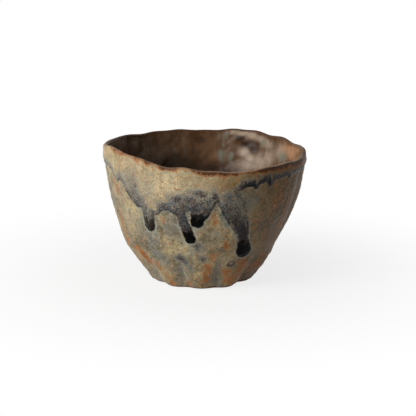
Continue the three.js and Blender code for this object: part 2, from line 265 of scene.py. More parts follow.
GREY_BLOTS = (
    (-44, 48, 6, 7.5, 0.72), (-41, 42.5, 5.5, 4.5, 0.95), (-49, 49.5, 4.5, 5, 0.62),
    (-34, 49, 6, 6, 0.45), (-37.5, 37, 3.2, 4, 1), (-46, 45, 3.4, 4, 0.8), (-24, 42.8, 6, 2.8, 1.1),
    (-16, 46.8, 5.4, 3, 1.1), (-19.5, 49, 4, 2, 0.55), (-10.5, 44, 5, 3, 1.08), (-3, 50.6, 8, 2.2, 0.85),
    (-1.2, 49.6, 5, 1.8, 1), (6, 48.8, 4, 1.9, 1.15), (14, 48.8, 5, 3.8, 1), (18, 51.6, 3, 2, 0.85),
    (11.2, 41.5, 2.4, 5, 1.2), (14.5, 36.5, 3, 3.4, 1.2), (-8, 46.5, 9, 3.6, 1.05),
    (-13, 41.5, 3.6, 5, 1.12), (2, 45, 5, 3.2, 1.02), (23, 44.5, 6, 6, 0.72), (29, 46.5, 6, 4.5, 0.4),
    (-16, 34.5, 2, 4, 0.75), (-18, 17.2, 5, 2.3, 1.2), (-14.6, 15, 3.2, 2.8, 0.95),
    (-11.6, 12, 3.2, 3, 0.75), (-38.4, 25.7, 3, 5, 0.75), (-38.8, 20, 2.8, 5, 0.72), (-35, 17, 4, 4, 0.6),
    (-24, 32, 2, 5, 0.7), (-5, 24, 5, 3, 1), (-31, 15, 4, 5, 0.6), (-1.4, 17.3, 3.6, 2.2, 0.95),
    (-42, 34, 3, 4, 0.5), (-33, 28, 2.6, 6, 0.55), (-20, 33, 3, 5, 0.45), (-20.8, 9, 3, 6, 0.65),
    (10.4, 9, 3, 8, 0.6), (46, 14, 3.4, 8, 0.5), (52, 33, 5, 9, 0.4), (40, 33, 4, 6, 0.3),
    (7.6, 30, 2.6, 4, 0.5), (-15, 26, 2.6, 4, 0.5), (56, 21, 4, 6, 0.45), (152, 20, 4, 5, 0.8),
    (-146, 24, 4, 5, 0.8), (104, 33, 4, 6, 0.6), (-115, 26, 4, 9, 0.6), (175, 34, 6, 8, 0.6),
    (-46, 30, 6, 6, 0.42), (-57, 34, 7, 8, 0.3), (-72, 40, 8, 10, 0.3),
)
# Where the base coat is paler: partly paler glaze, partly painted light on the front of the low wall
PALE_AND_LIT_BLOTS = ((3, 21, 9, 9, 0.55), (11, 29, 6, 8, 0.4), (-68, 30, 14, 14, 0.3), (19, 13, 8, 8, 1))
# Where the right drip's edge melts into the coat below
SOFT_SIDE = ((22, 46, 5, 5, 1), (25, 41.5, 3.6, 4, 1))
# Pale streaks down the wall: those at 66 and 70 degrees, along the pinch groove on the right, are a painted
# highlight; the one at -66 degrees is a streak of ash
PALE_AND_HIGHLIGHT_STREAKS = ((66, 48, 2.6, 9, 0.85), (70, 36, 2, 10, 0.45), (-66, 44, 1.4, 8, 0.4))
# Amber where the second coat thins towards the lip
AMBER_BLOTS = (
    (14, 55, 12, 6, 1.15), (32, 57, 14, 4.6, 1.15), (55, 57, 16, 4.6, 1.2), (-4, 57.5, 10, 2.4, 0.5),
    (150, 54, 20, 5, 0.6),
)
# Blots on the inside
# Paler blots: pale glaze on the back-right, partly painted sheen; those at 148 to 153 degrees, 48 to 50 mm
# up, are a painted highlight, and those at -104 to -131 degrees by the left lip a painted reflection
PALE_AND_HIGHLIGHT_INSIDE = (
    (163, 59.6, 5, 1.6, 0.85), (155.6, 59.4, 6, 1.8, 1), (149, 58.6, 6, 2, 1), (143, 57.8, 6, 2.2, 0.95),
    (137, 56.4, 7, 3, 0.9), (153, 50.2, 4.4, 2.6, 1.15), (148.5, 48, 4, 2.2, 1.15),
    (150, 44.5, 9, 3.2, 0.8), (140, 47.4, 8, 4.4, 0.9), (133.8, 50.2, 8, 5, 0.85), (124, 54, 8, 5, 0.7),
    (90, 48, 12, 9, 0.5), (10, 48, 16, 9, 0.4), (-60, 42, 14, 12, 0.4), (-104, 59.5, 9, 3.4, 1),
    (-117, 57.8, 11, 4, 0.95), (-131, 56.5, 10, 4, 0.6), (-138, 50, 26, 12, 0.32),
)
# Darker blots: dark glaze by the back-right lip; the broad low ones at -160 and 176 degrees are painted
# shade low on the back of the inside
DARK_AND_SHADE_INSIDE = (
    (157, 56.6, 4, 1.8, 1), (151.8, 54.2, 5.4, 2.4, 1.15), (147, 52.4, 4.2, 2.4, 1.05),
    (145, 55, 3, 1.8, 0.8), (183, 56, 5, 2.2, 0.8), (-160, 43, 24, 7, 1.15), (176, 41, 15, 4.5, 1.15),
    (-142, 46, 16, 5, 0.3),
)
GREEN_INSIDE = (
    (165.6, 58.2, 2.6, 2.4, 0.85), (162.4, 47.8, 2.6, 3.6, 0.95), (169.4, 48.6, 2.8, 4, 0.95),
    (139.8, 56.4, 3.4, 1.8, 0.85), (120.4, 52.2, 5, 3.6, 0.9), (168, 53, 2, 3, 0.5),
    (-168, 48, 3, 4, 0.5), (-148, 45, 4, 5, 0.4), (40, 45, 5, 7, 0.7), (-30, 47, 6, 8, 0.6),
    (80, 40, 6, 8, 0.6),
)
ORANGE_INSIDE = (
    (110, 57, 10, 5, 1.1), (101, 59, 8, 3, 1), (118, 56.4, 7, 3, 0.8), (99, 53, 9, 5, 0.8),
    (175, 48, 9, 3, 0.3), (-20, 40, 9, 8, 0.5),
)

# Colours, in sRGB
PALETTE = dict(
    inside_brown="533822", inside_tan="5f432b", inside_grey="5c5a4c", inside_dark="352417",
    inside_pale="b09b86", inside_orange="b98c68", inside_green="787a6b", inside_black="301e0f",
    inside_edge="4a2c18", tan_dark="635a47", tan_pale="bfac80", tan_green="747a79", straw_dark="90805f",
    straw_pale="cbb791", straw_rust="a07a4e", straw_grey="98937e", brown="5f442c", amber="876839",
    ash="cabfa4", rust="ab6c35", rust_dark="78451e", spot="a1693a", grey="8a8b80", slate_warm="605348",
    slate_cool="535c62", slate_dark="26282d", blush="ab8d72", cream="b3a48b", halo_and_highlight="9c9f8f",
    brown_wash="45321f", soot="372f2b", black="050404", iron="945b30", iron_dark="3a2313",
    lip_pale_and_highlight="b3957a", pit="2c1a10", glint="d8cfbd", clay_dark="7d5d43", clay_pale="9a7656",
    clay_grain="4f3826",
)

# Mesh counts
COLUMNS = 720
BASE_COLUMNS = 600
LINER_COLUMNS = 480
CLAY_COLUMNS = 240
DRIP_COLUMNS = 45
BASE_ROWS = 146
BASE_EDGE_ROWS = (0, 0.001, 0.003, 0.006, 0.01)  # shares of the base coat's height
DIP_ROWS = 76
LIP_ROWS = 34
LINER_ROWS = 160
CLAY_ROWS = 90
HOLLOW_ROWS = 26
RING_ROWS = 10
DRIP_ROW_STEP = 0.3
DRIP_TIP_ROWS = 21
UNDER_ROWS = dict(base_coat=12, dip_coat=8, lip_coat=10, liner_coat=24)
PATH_COUNTS = dict(up=400, lip=61, down=300, fillet=120, floor=60)
SHARP_ANGLE = 50

# Studio, in metres, watts and degrees
FILL_LIGHT = 0.08
LIGHT_SIZE = 0.5
FLOOR_REACH = 3
FLOOR_DROP = 0.00002
FLOOR_COLOUR = (0.8, 0.79, 0.78, 1)
FLOOR_ROUGHNESS = 0.9
SHADOW_FADES = (0.02, 0.16)  # from the middle of the floor
FLOOR_WHITENESS = (0.8, 1)  # in the shadow and away from it
CAMERA_ELEVATION = 14
CAMERA_DISTANCE = 0.905
CAMERA_AIM = (0.0016, 0, 0.0323)
CAMERA_LENS = 167.4


def ease(value, low, high):
    """A smooth step from 0 at low to 1 at high."""
    t = np.clip((value - low) / (high - low), 0, 1)
    return t * t * (3 - 2 * t)


def fade(value, low, high):
    return 1 - ease(value, low, high)


def between(value, rises, fades):
    return ease(value, *rises) * fade(value, *fades)


def bell(value, reach):
    """1 at zero, dying away over a reach on both sides."""
    return np.exp(-((value / reach) ** 2))


def mix(a, b, share):
    return a + (b - a) * share


def bend(start, middle, end, t):
    """A curve from start to end, drawn towards middle."""
    return start * (1 - t) ** 2 + 2 * middle * t * (1 - t) + end * t**2


def wrapped(angle):
    return (np.asarray(angle, float) + 180) % 360 - 180


def around(points, angle):
    """A smooth closed curve through (angle, value) points, read at angles round the cup."""
    points = sorted(points)
    at, value = np.array(points[-2:] + points + points[:2], float).T
    at[:2] -= 360
    at[-2:] += 360
    lean = np.gradient(value, at)
    angle = wrapped(angle)
    i = np.clip(np.searchsorted(at, angle, side="right") - 1, 0, len(at) - 2)
    step = at[i + 1] - at[i]
    t = (angle - at[i]) / step
    return (
        (2 * t**3 - 3 * t**2 + 1) * value[i]
        + (t**3 - 2 * t**2 + t) * step * lean[i]
        + (3 * t**2 - 2 * t**3) * value[i + 1]
        + (t**3 - t**2) * step * lean[i + 1]
    )


def outside_radius(height):
    middle = 2 * BELLY_RADIUS - (FOOT_RADIUS + RIM_RADIUS) / 2
    return bend(FOOT_RADIUS, middle, RIM_RADIUS, np.asarray(height, float) / HEIGHT)


LIP_RADIUS = WALL_AT_LIP / 2
SHOULDER = HEIGHT - LIP_RADIUS
BAND_HEIGHT = SHOULDER - LIP_BAND


def inside_radius(height):
    up = (height - FLOOR_THICKNESS) / (SHOULDER - FLOOR_THICKNESS)
    return outside_radius(height) - mix(WALL_AT_FLOOR, WALL_AT_LIP, up)


def skin_path():
    """Radius and height of the glazed skin from the glaze line over the lip to the middle of the floor."""
    up = np.linspace(GLAZE_LINE, SHOULDER, PATH_COUNTS["up"])
    crown = outside_radius(SHOULDER) - LIP_RADIUS
    over = np.linspace(0, math.pi, PATH_COUNTS["lip"])[1:]
    fillet_top = FLOOR_THICKNESS + FLOOR_FILLET
    down = np.linspace(SHOULDER, fillet_top, PATH_COUNTS["down"])[1:]
    corner = inside_radius(FLOOR_THICKNESS)
    floor_edge = corner - FLOOR_FILLET
    t = np.linspace(0, 1, PATH_COUNTS["fillet"])[1:]
    floor = np.linspace(floor_edge, 0, PATH_COUNTS["floor"])[1:]
    fillet = bend(inside_radius(fillet_top), corner, floor_edge, t)
    stretches = (
        (outside_radius(up), up),
        (crown + LIP_RADIUS * np.cos(over), SHOULDER + LIP_RADIUS * np.sin(over)),
        (inside_radius(down), down),
        (fillet, FLOOR_THICKNESS + (1 - t) ** 2 * FLOOR_FILLET),
        (floor, np.full(len(floor), FLOOR_THICKNESS)),
    )
    return [np.concatenate(part) for part in zip(*stretches)]


path_radius, path_height = skin_path()
path_arc = np.concatenate([[0], np.cumsum(np.hypot(np.diff(path_radius), np.diff(path_height)))])
path_out_radius = np.gradient(path_height, path_arc)
path_out_height = -np.gradient(path_radius, path_arc)
path_out_radius[-1] = 0
path_out_height[-1] = 1
CROWN_ROW = int(np.argmax(path_height))
CROWN_ARC = path_arc[CROWN_ROW]
END_ARC = path_arc[-1]


def arc_at(height):
    """Arc along the skin to a height on the outside."""
    return np.interp(height, path_height[: CROWN_ROW + 1], path_arc[: CROWN_ROW + 1])


def height_at(arc):
    return np.interp(arc, path_arc, path_height)


BAND_ARC = arc_at(BAND_HEIGHT)
LIP_END_ARC = arc_at(SHOULDER) + math.pi * LIP_RADIUS


def flute_at(angle, half_width=FLUTE_HALF_WIDTH):
    """How deep in a flute an angle lies, from 0 on a ridge to 1."""
    apart = wrapped(np.asarray(angle)[..., None] - np.array(FLUTE_ANGLES))
    return bell(apart, half_width).max(-1)


def blot(mark, angle, height):
    """One soft blot on the wall, from its angle, its height, its two reaches and its strength."""
    at, up, reach_round, reach_up, strength = mark
    return strength * bell(wrapped(angle - at), reach_round) * bell(height - up, reach_up)


def blots(marks, angle, height):
    """Soft blots that join where they meet."""
    return sum(blot(mark, angle, height) ** 4 for mark in marks) ** 0.25


def hand_formed(radius, height, angle):
    """A point of a round cup brought to the hand-formed cup, in metres."""
    up = np.maximum(height, 0) / HEIGHT
    share = radius / outside_radius(up * HEIGHT)
    pushed = sum(blot(push, angle, height) for push in PUSHES)
    leaned = LEAN * np.cos(np.radians(angle - LEAN_TOWARDS)) * fade(height, *LEAN_FADES)
    flute = FLUTE_DEPTH * flute_at(angle) * fade(height, 0, FLUTE_TOP)
    pleat = PLEAT_DEPTH * flute_at(angle, PLEAT_HALF_WIDTH) * between(height, PLEAT_RISES, PLEAT_FADES)
    pinch = PINCH_DEPTH * bell(wrapped(angle - PINCH_ANGLE), PINCH_HALF_WIDTH)
    pinch = pinch * between(height, PINCH_RISES, PINCH_FADES)
    dent = DENTS.at(angle, height) * ease(up, *DENT_RISES) * ease(share, *DENT_OUTWARDS)
    ripple = RIPPLE.at(angle, 0 * height) * ease(up, *RIPPLE_RISES)
    radius = radius + share * (leaned + pushed - flute - pleat + dent - pinch + ripple / 2)
    height = height + share * (around(LIP_RISE, angle) * up**2 + ripple)
    turn = np.radians(angle)
    return np.stack([radius * np.sin(turn), -radius * np.cos(turn), height], -1) * MM


def lifted(arc, thickness):
    """Radius and height at an arc along the skin, lifted off the clay by a thickness of glaze."""
    radius = np.interp(arc, path_arc, path_radius) + np.interp(arc, path_arc, path_out_radius) * thickness
    height = height_at(arc) + np.interp(arc, path_arc, path_out_height) * thickness
    return np.maximum(radius, 0), height


def skin_point(arc, angle, thickness):
    return hand_formed(*lifted(arc, thickness), angle)


def smooth_union(a, b, reach):
    near = np.maximum(0, 1 - np.abs(a - b) / reach)
    return np.maximum(a, b) + reach * near**2 / 4


def drip_field(drip, angle, height):
    """How far into a drip points lie, its half width there, and the share of its run above them."""
    fallen = drip.top() - height
    end = drip.run - drip.bead / 2
    down = np.clip(fallen, -DRIP_OVERLAP, end)
    along = np.clip(down / drip.run, 0, 1)
    waist = drip.waist * bell(along - WAIST_AT, WAIST_REACH)
    half = mix(drip.neck, drip.bead, ease(along, 0, NECK_SHARE)) / 2 - waist
    middle = mix(drip.top_angle, drip.tip_angle, down / drip.run)
    across = np.radians(wrapped(angle - middle)) * outside_radius(height)
    half_way = outside_radius(drip.top() - drip.run / 2)
    slant = math.radians(drip.tip_angle - drip.top_angle) * half_way / drip.run
    across = across / math.hypot(1, slant)
    beyond = np.maximum(0, fallen - end) + np.maximum(0, -fallen - DRIP_OVERLAP)
    return half - np.hypot(across, beyond), half, np.clip(fallen / drip.run, 0, 1)


def coat_edge(angle):
    """Height of the second coat's lower edge, with its lobes."""
    drop = sum(fall * bell(wrapped(angle - at), reach) for at, reach, fall in EDGE_LOBES)
    return HEIGHT - around(DIP_DEPTH, angle) - drop


def add_drip(coat, drip, angle, height, frayed, ragged):
    """Joins one drip to the second coat: its lift and paint where it lies, and the pale trail below it."""
    into, half, along = drip_field(drip, angle, height)
    into = into + frayed
    share = ease(into - coat["inside"], *DRIP_TAKES_OVER) * ease(into, *DRIP_NEAR)
    coat["lift"] = mix(coat["lift"], mix(DIP_COAT, DRIP_LIFT, ease(along, 0, DRIP_SWELLS)), share)
    coat["roll"] = mix(coat["roll"], half, share)
    past_black = height - drip.tip() + ragged - drip.black_length
    black = drip.black * ease(into, *BLACK_EDGE) * fade(past_black, *BLACK_FADES)
    coat["ink"] = np.maximum(mix(coat["ink"], LINE_UNDER_DRIP * coat["ink"], share), black)
    coat["run"] = np.maximum(coat["run"], share * ease(along, 0.1, 0.45))
    slate = mix(0.95, 0.5 + 0.6 * drip.black, ease(along, drip.slate_from, drip.slate_to))
    slate = slate * ease(along, -0.02, 0.12) * ease(into, -0.3, 0.5 * half)
    coat["within"] = np.maximum(coat["within"], slate)
    coat["inside"] = smooth_union(coat["inside"], into, 1)
    across = np.radians(wrapped(angle - drip.tip_angle)) * outside_radius(height)
    trail = bell(across, TRAIL_HALF_WIDTH) * between(drip.tip() - height, TRAIL_RISES, TRAIL_FADES)
    coat["tint"] = np.maximum(coat["tint"], drip.trail * trail)


def second_coat(angle, height):
    """The second coat and its drips at points of the wall: how far inside its edge, its lift, its paint."""
    edge = coat_edge(angle)
    slope = (coat_edge(angle + 0.5) - coat_edge(angle - 0.5)) / (math.radians(1) * outside_radius(edge))
    frayed = EDGE_FRAY.at(angle, height)
    ragged = BLACK_RAGGED.at(angle, height)
    inside = (height - edge) / np.hypot(1, slope) + EDGE_WAVE.at(angle, height) + frayed
    width = np.where(inside > 0, around(EDGE_WIDTH, angle), INK_OUTSIDE)
    coat = {
        "inside": inside,
        "lift": np.full_like(inside, DIP_COAT),
        "roll": np.full_like(inside, COAT_ROLL),
        "ink": around(EDGE_INK, angle) * bell(inside, width),
        "run": np.zeros_like(inside),
        "within": np.zeros_like(inside),
        "tint": np.zeros_like(inside),
    }
    for drip in DRIPS:
        add_drip(coat, drip, angle, height, frayed, ragged)
    inside = coat["inside"]
    t = np.clip(inside / coat["roll"], 0, 1)
    rolled = coat["lift"] * np.sqrt(1 - (1 - t) ** 2)
    coat["lift"] = np.where(inside > 0, rolled, np.maximum(SINK_SLOPE * inside, -SINK))
    return coat


def crater_rings(angle, height):
    """Lift of the burst bubbles and a mask of their dark rings."""
    lift = np.zeros_like(height)
    ring = np.zeros_like(height)
    for at, up, radius in CRATERS:
        across = np.radians(wrapped(angle - at)) * outside_radius(height)
        away = np.hypot(across, height - up) / radius
        lift = lift + CRATER_RIM * bell(away - 1, 0.35) - CRATER_PIT * bell(away, 0.6)
        ring = np.maximum(ring, bell(away - 0.78, 0.34))
    return lift, ring


def outer_thickness(arc, coat_lift):
    """Glaze thickness outside: both coats on the wall, running thin over the crown of the lip."""
    return mix(LIP_COAT, BASE_COAT + coat_lift, ease(CROWN_ARC - arc, *LIP_THINS))


def base_relief(angle, height):
    lift, _ = crater_rings(angle, height)
    return sum(relief.at(angle, height) for relief in GLAZE_LUMPS) + lift


def outer_paint(angle, height, arc):
    """Paint of the outside at points of the wall, for the glaze materials."""
    coat = second_coat(angle, height)
    inside = coat["inside"]
    _, ring = crater_rings(angle, height)
    low = fade(height, 2, FLUTE_TOP)
    flute = flute_at(angle)
    rust = blots(RUST_BLOTS, angle, height)
    soft = blots(SOFT_SIDE, angle, height)
    reach = inside / around(GREY_REACH, angle)
    zone = 0.88 * fade(reach, 0.4, 1.15) + 0.24 * fade(reach, 0, 0.5)
    zone = zone * ease(inside, -0.2, 0.4) * around(GREY_DEPTH, angle)
    beside = bell(inside + 0.65, 0.55) * (inside < 0.3) * (1 - soft)
    greys = [
        zone * (1 - 0.4 * soft),
        coat["within"] * (1 - 0.35 * soft),
        blots(GREY_BLOTS, angle, height),
        0.4 * coat["tint"],
        0.5 * low * flute * fade(rust, 0.2, 0.8),
        0.8 * ring,
    ]
    # Pale halo beside the edges and below the drips, with the painted highlight along the pinch groove
    halos_and_highlight = [
        beside * mix(0.55, 1, coat["run"]),
        0.45 * coat["tint"],
        blots(PALE_AND_HIGHLIGHT_STREAKS, angle, height),
    ]
    below_crown = CROWN_ARC - arc
    return {
        # Share of the second coat's straw colour, raised by the paler blots, which are partly painted light
        "dip_and_painted_light": np.maximum(ease(inside, -0.3, 1.2), blots(PALE_AND_LIT_BLOTS, angle, height)),
        "grey": np.maximum.reduce(greys),
        "ink": np.maximum(coat["ink"] * ease(inside, -0.25, 0.3) * (1 - soft), 0.5 * ring),
        "halo_and_highlight": np.maximum.reduce(halos_and_highlight),
        "brown": around(BROWN, angle),
        "amber": blots(AMBER_BLOTS, angle, height),
        "rust": np.maximum(rust, 0.5 * low * (1 - flute)),
        "lip": below_crown,
        "iron": around(IRON_WIDTH, angle) - below_crown,
        "pale_lip_and_highlight": around(PALE_LIP_AND_HIGHLIGHT, angle),
    }


def inner_paint(angle, arc):
    """Paint of the inside at points of its wall."""
    height = height_at(arc)
    return {
        "down": arc - CROWN_ARC,
        "pale": blots(PALE_AND_HIGHLIGHT_INSIDE, angle, height),
        "dark": blots(DARK_AND_SHADE_INSIDE, angle, height),
        "green": blots(GREEN_INSIDE, angle, height),
        "orange": blots(ORANGE_INSIDE, angle, height),
    }


def add_object(name, data):
    added = bpy.data.objects.new(name, data)
    bpy.context.scene.collection.objects.link(added)
    return added


def grid_mesh(name, points, wrap_rows, paint):
    """A mesh over points[row, column], whose columns go round. Its faces are turned to point out."""
    rows, columns = points.shape[:2]
    here = np.arange(rows * columns).reshape(rows, columns)
    lower = here if wrap_rows else here[:-1]
    upper = np.roll(here, -1, axis=0) if wrap_rows else here[1:]
    faces = np.stack([lower, np.roll(lower, -1, 1), np.roll(upper, -1, 1), upper], -1).reshape(-1, 4)
    flat = points.reshape(-1, 3)
    a, b, c, d = (flat[faces[:, i]] for i in range(4))
    volume = np.sum(a * (np.cross(b, c) + np.cross(c, d)))
    if volume < 0:
        faces = faces[:, ::-1]
    mesh = bpy.data.meshes.new(name)
    mesh.from_pydata(flat.tolist(), [], faces.tolist())
    for key, value in paint.items():
        layer = mesh.attributes.new(key, "FLOAT", "POINT")
        layer.data.foreach_set("value", np.ascontiguousarray(value, np.float32).ravel())
    return add_object(name, mesh)


def finish_piece(piece, material, node):
    mesh = piece.data
    mesh.validate()
    mesh.shade_smooth()
    mesh.set_sharp_from_angle(angle=math.radians(SHARP_ANGLE))
    mesh.materials.append(material)
    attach(piece, "root")
    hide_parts(node)


def merge_poles(piece):
    """Joins points that lie in one place, as those of a row on the axis do."""
    work = bmesh.new()
    work.from_mesh(piece.data)
    bmesh.ops.remove_doubles(work, verts=work.verts, dist=1e-7)
    work.to_mesh(piece.data)
    work.free()


def cap_ends(piece, shape):
    """Closes the first and last loops of a tongue."""
    rows, columns = shape[:2]
    work = bmesh.new()
    work.from_mesh(piece.data)
    work.verts.ensure_lookup_table()
    for row in (0, rows - 1):
        work.faces.new([work.verts[row * columns + i] for i in range(columns)])
    bmesh.ops.recalc_face_normals(work, faces=work.faces)
    work.to_mesh(piece.data)
    work.free()


def ring_angles(count):
    """One row of angles all round the cup."""
    return np.arange(count)[None, :] * 360 / count


def with_under(paint, rows):
    """Paint for a closed shell: the upper rows' own values, then zeros for its under rows."""
    return {key: np.concatenate([value, np.zeros((rows, value.shape[1]))]) for key, value in paint.items()}


def under_face(name, arc, angle, height):
    """Points of a coat's under face, back from its last row to its first in fewer rows."""
    under_arc = arc[np.linspace(len(arc) - 1, 0, UNDER_ROWS[name]).round().astype(int)]
    return skin_point(under_arc, np.broadcast_to(angle[:1], under_arc.shape), height)


def coat_shell(name, arc, angle, thickness, paint, under=0):
    """A closed coat, from the heights of its upper and under faces above the clay."""
    lower = under_face(name, arc, angle, under)
    points = np.concatenate([skin_point(arc, angle, thickness), lower])
    return grid_mesh(name, points, True, with_under(paint, len(lower)))


def make_base_coat(material):
    angle = ring_angles(BASE_COLUMNS)
    start = GLAZE_LINE + LINE_WAVE.depth + LINE_WAVE.at(angle, 0 * angle)
    t = np.concatenate([BASE_EDGE_ROWS, np.linspace(BASE_EDGE_ROWS[-1], 1, BASE_ROWS)[1:]])[:, None]
    height = mix(start, BAND_HEIGHT, t)
    angle = np.broadcast_to(angle, height.shape)
    arc = arc_at(height)
    rolled = np.sqrt(np.clip((arc - arc[:1]) / BASE_ROLL, 0.02, 1))
    thickness = (BASE_COAT + base_relief(angle, height)) * rolled
    piece = coat_shell("base_coat", arc, angle, thickness, outer_paint(angle, height, arc))
    finish_piece(piece, material, "base_glaze")


def edge_floor(angle):
    """Height of the second coat's hidden lower border, where the drips take over."""
    return HEIGHT - around(DIP_DEPTH, angle) - HIDDEN_BORDER


def make_dip_coat(material):
    angle = ring_angles(COLUMNS)
    height = mix(edge_floor(angle), BAND_HEIGHT, np.linspace(0, 1, DIP_ROWS)[:, None])
    angle = np.broadcast_to(angle, height.shape)
    arc = arc_at(height)
    lift = second_coat(angle, height)["lift"] + base_relief(angle, height)
    thickness = outer_thickness(arc, lift)
    piece = coat_shell("dip_coat", arc, angle, thickness, outer_paint(angle, height, arc), DIP_UNDER)
    finish_piece(piece, material, "dip_glaze")


def make_lip_coat(material):
    angle = ring_angles(COLUMNS)
    arc = np.linspace(BAND_ARC, LIP_END_ARC, LIP_ROWS)[:, None] + 0 * angle
    angle = np.broadcast_to(angle, arc.shape)
    height = height_at(np.minimum(arc, CROWN_ARC))
    lift = second_coat(angle, height)["lift"] + base_relief(angle, height)
    inside = mix(LIP_COAT, LINER_COAT, ease(arc - CROWN_ARC, 0, LIP_END_ARC - CROWN_ARC))
    thickness = np.where(arc < CROWN_ARC, outer_thickness(arc, lift), inside)
    paint = outer_paint(angle, height, arc) | inner_paint(angle, arc)
    piece = coat_shell("lip_coat", arc, angle, thickness, paint)
    finish_piece(piece, material, "lip_glaze")


def make_liner(material):
    """The inside coat: its rows go down its upper face to the axis, and back up under it."""
    angle = ring_angles(LINER_COLUMNS)
    arc = np.linspace(LIP_END_ARC, END_ARC, LINER_ROWS)[:, None] + 0 * angle
    angle = np.broadcast_to(angle, arc.shape)
    relief = sum(relief.at(angle, arc) for relief in LINER_LUMPS)
    relief = relief * ease(arc - LIP_END_ARC, *LINER_RISES)
    relief = relief * ease(np.interp(arc, path_arc, path_radius), *LINER_OUTWARDS)
    upper = skin_point(arc, angle, LINER_COAT + relief)
    lower = under_face("liner_coat", arc, angle, 0)
    points = np.concatenate([lower[-1:], upper, lower])
    paint = with_under(inner_paint(angle, arc), len(lower))
    paint = {key: np.concatenate([value[-1:], value]) for key, value in paint.items()}
    piece = grid_mesh("liner_coat", points, False, paint)
    merge_poles(piece)
    finish_piece(piece, material, "liner_glaze")


def make_drip(drip, material):
    """One drip as a closed tongue that starts at the second coat's hidden border."""
    start = edge_floor(drip.top_angle)
    centre = drip.tip() + drip.bead / 2
    tip = drip.tip() - TONGUE_MARGIN
    straight = np.linspace(start, centre, max(8, int((start - centre) / DRIP_ROW_STEP)))
    turn = np.linspace(0, math.pi / 2, DRIP_TIP_ROWS + 1)[1:]
    middle = np.concatenate([straight, centre - (centre - tip) * np.sin(turn)])[:, None]
    _, half, _ = drip_field(drip, np.full_like(middle, drip.top_angle), middle)
    closing = np.sqrt(np.clip(1 - (np.maximum(0, centre - middle) / (centre - tip)) ** 2, 0.002, 1))
    across = np.cos(np.linspace(math.pi, 0, DRIP_COLUMNS))[None, :]
    reach = across * (half + TONGUE_SIDE) * closing
    down = np.clip(drip.top() - middle, 0, drip.run) / drip.run
    angle = mix(drip.top_angle, drip.tip_angle, down) + np.degrees(reach / outside_radius(middle))
    follow = fade(start - middle, 0, TONGUE_FOLLOWS)
    height = middle + (edge_floor(angle) - start) * follow
    arc = arc_at(height)
    thickness = BASE_COAT + second_coat(angle, height)["lift"] + base_relief(angle, height)
    upper = skin_point(arc, angle, thickness)
    lower = skin_point(arc, angle, TONGUE_UNDER)
    loop = np.concatenate([upper, lower[:, ::-1]], axis=1)
    paint = outer_paint(angle, height, arc)
    paint = {key: np.concatenate([value, value[:, ::-1]], axis=1) for key, value in paint.items()}
    piece = grid_mesh(drip.node.replace("drip", "glaze_drip"), loop, False, paint)
    cap_ends(piece, loop.shape)
    finish_piece(piece, material, drip.node)


def make_clay(material):
    """Bare clay: foot hollow, standing ring, and the wall and floor that the glaze covers."""
    ring_inside = FOOT_RADIUS - FOOT_RING_WIDTH
    hollow = np.linspace(0, ring_inside - FOOT_BEVEL, HOLLOW_ROWS)
    ring = np.linspace(ring_inside, FOOT_RADIUS - FOOT_BEVEL, RING_ROWS)
    skin_radius, skin_height = lifted(np.linspace(0, END_ARC, CLAY_ROWS), -CLAY_CLEAR)
    skin_radius[-1] = 0
    radius = np.concatenate([hollow, ring, skin_radius])[:, None]
    height = np.concatenate([np.full(HOLLOW_ROWS, FOOT_HOLLOW), np.zeros(RING_ROWS), skin_height])[:, None]
    angle = np.broadcast_to(ring_angles(CLAY_COLUMNS), (len(radius), CLAY_COLUMNS))
    grooved = np.zeros_like(height)
    grooved[:HOLLOW_ROWS] = ease(hollow, 0, 3)[:, None]
    groove = FOOT_GROOVE * np.sin(radius * FOOT_GROOVE_PACE + np.radians(angle)) * grooved
    points = hand_formed(radius + 0 * angle, np.maximum(height + groove, 0), angle)
    piece = grid_mesh("clay", points, False, {})
    merge_poles(piece)
    finish_piece(piece, material, "clay_body")


# Materials
def colour(name):
    """A colour of the palette, as the shader's linear values."""
    parts = [int(PALETTE[name][i : i + 2], 16) / 255 for i in (0, 2, 4)]
    return tuple(p / 12.92 if p <= 0.04045 else ((p + 0.055) / 1.055) ** 2.4 for p in parts) + (1.0,)


class Graph:
    """Short names for the shader nodes of one material or world."""

    def __init__(self, owner):
        owner.use_nodes = True
        self.owner = owner
        self.nodes = owner.node_tree.nodes
        self.links = owner.node_tree.links

    def put(self, socket, value):
        """Links another node's output to a socket, or sets a plain value on it."""
        if isinstance(value, bpy.types.NodeSocket):
            self.links.new(value, socket)
        else:
            socket.default_value = value

    def node(self, kind, values, **settings):
        """A new node, with its settings and then the values of its sockets."""
        made = self.nodes.new("ShaderNode" + kind)
        for name, value in settings.items():
            setattr(made, name, value)
        for socket, value in values.items():
            self.put(made.inputs[socket], value)
        return made

    def math(self, operation, a, b):
        return self.node("Math", {0: a, 1: b}, operation=operation).outputs[0]

    def times(self, a, b):
        return self.math("MULTIPLY", a, b)

    def total(self, value, *others):
        """A value with others added to it, each by its weight."""
        for other, weight in others:
            value = self.math("ADD", value, self.times(other, weight))
        return value

    def step(self, value, low, high):
        """A smooth step from 0 at low to 1 at high, where high may be the smaller."""
        values = {"Value": value, "From Min": low, "From Max": high}
        return self.node("MapRange", values, interpolation_type="SMOOTHSTEP").outputs["Result"]

    def scale(self, value, low, high, to_low, to_high):
        values = {"Value": value, "From Min": low, "From Max": high, "To Min": to_low, "To Max": to_high}
        return self.node("MapRange", values).outputs["Result"]

    def blend(self, share, a, b, kind="MIX"):
        return self.node("Mix", {0: share, 6: a, 7: b}, data_type="RGBA", blend_type=kind).outputs[2]


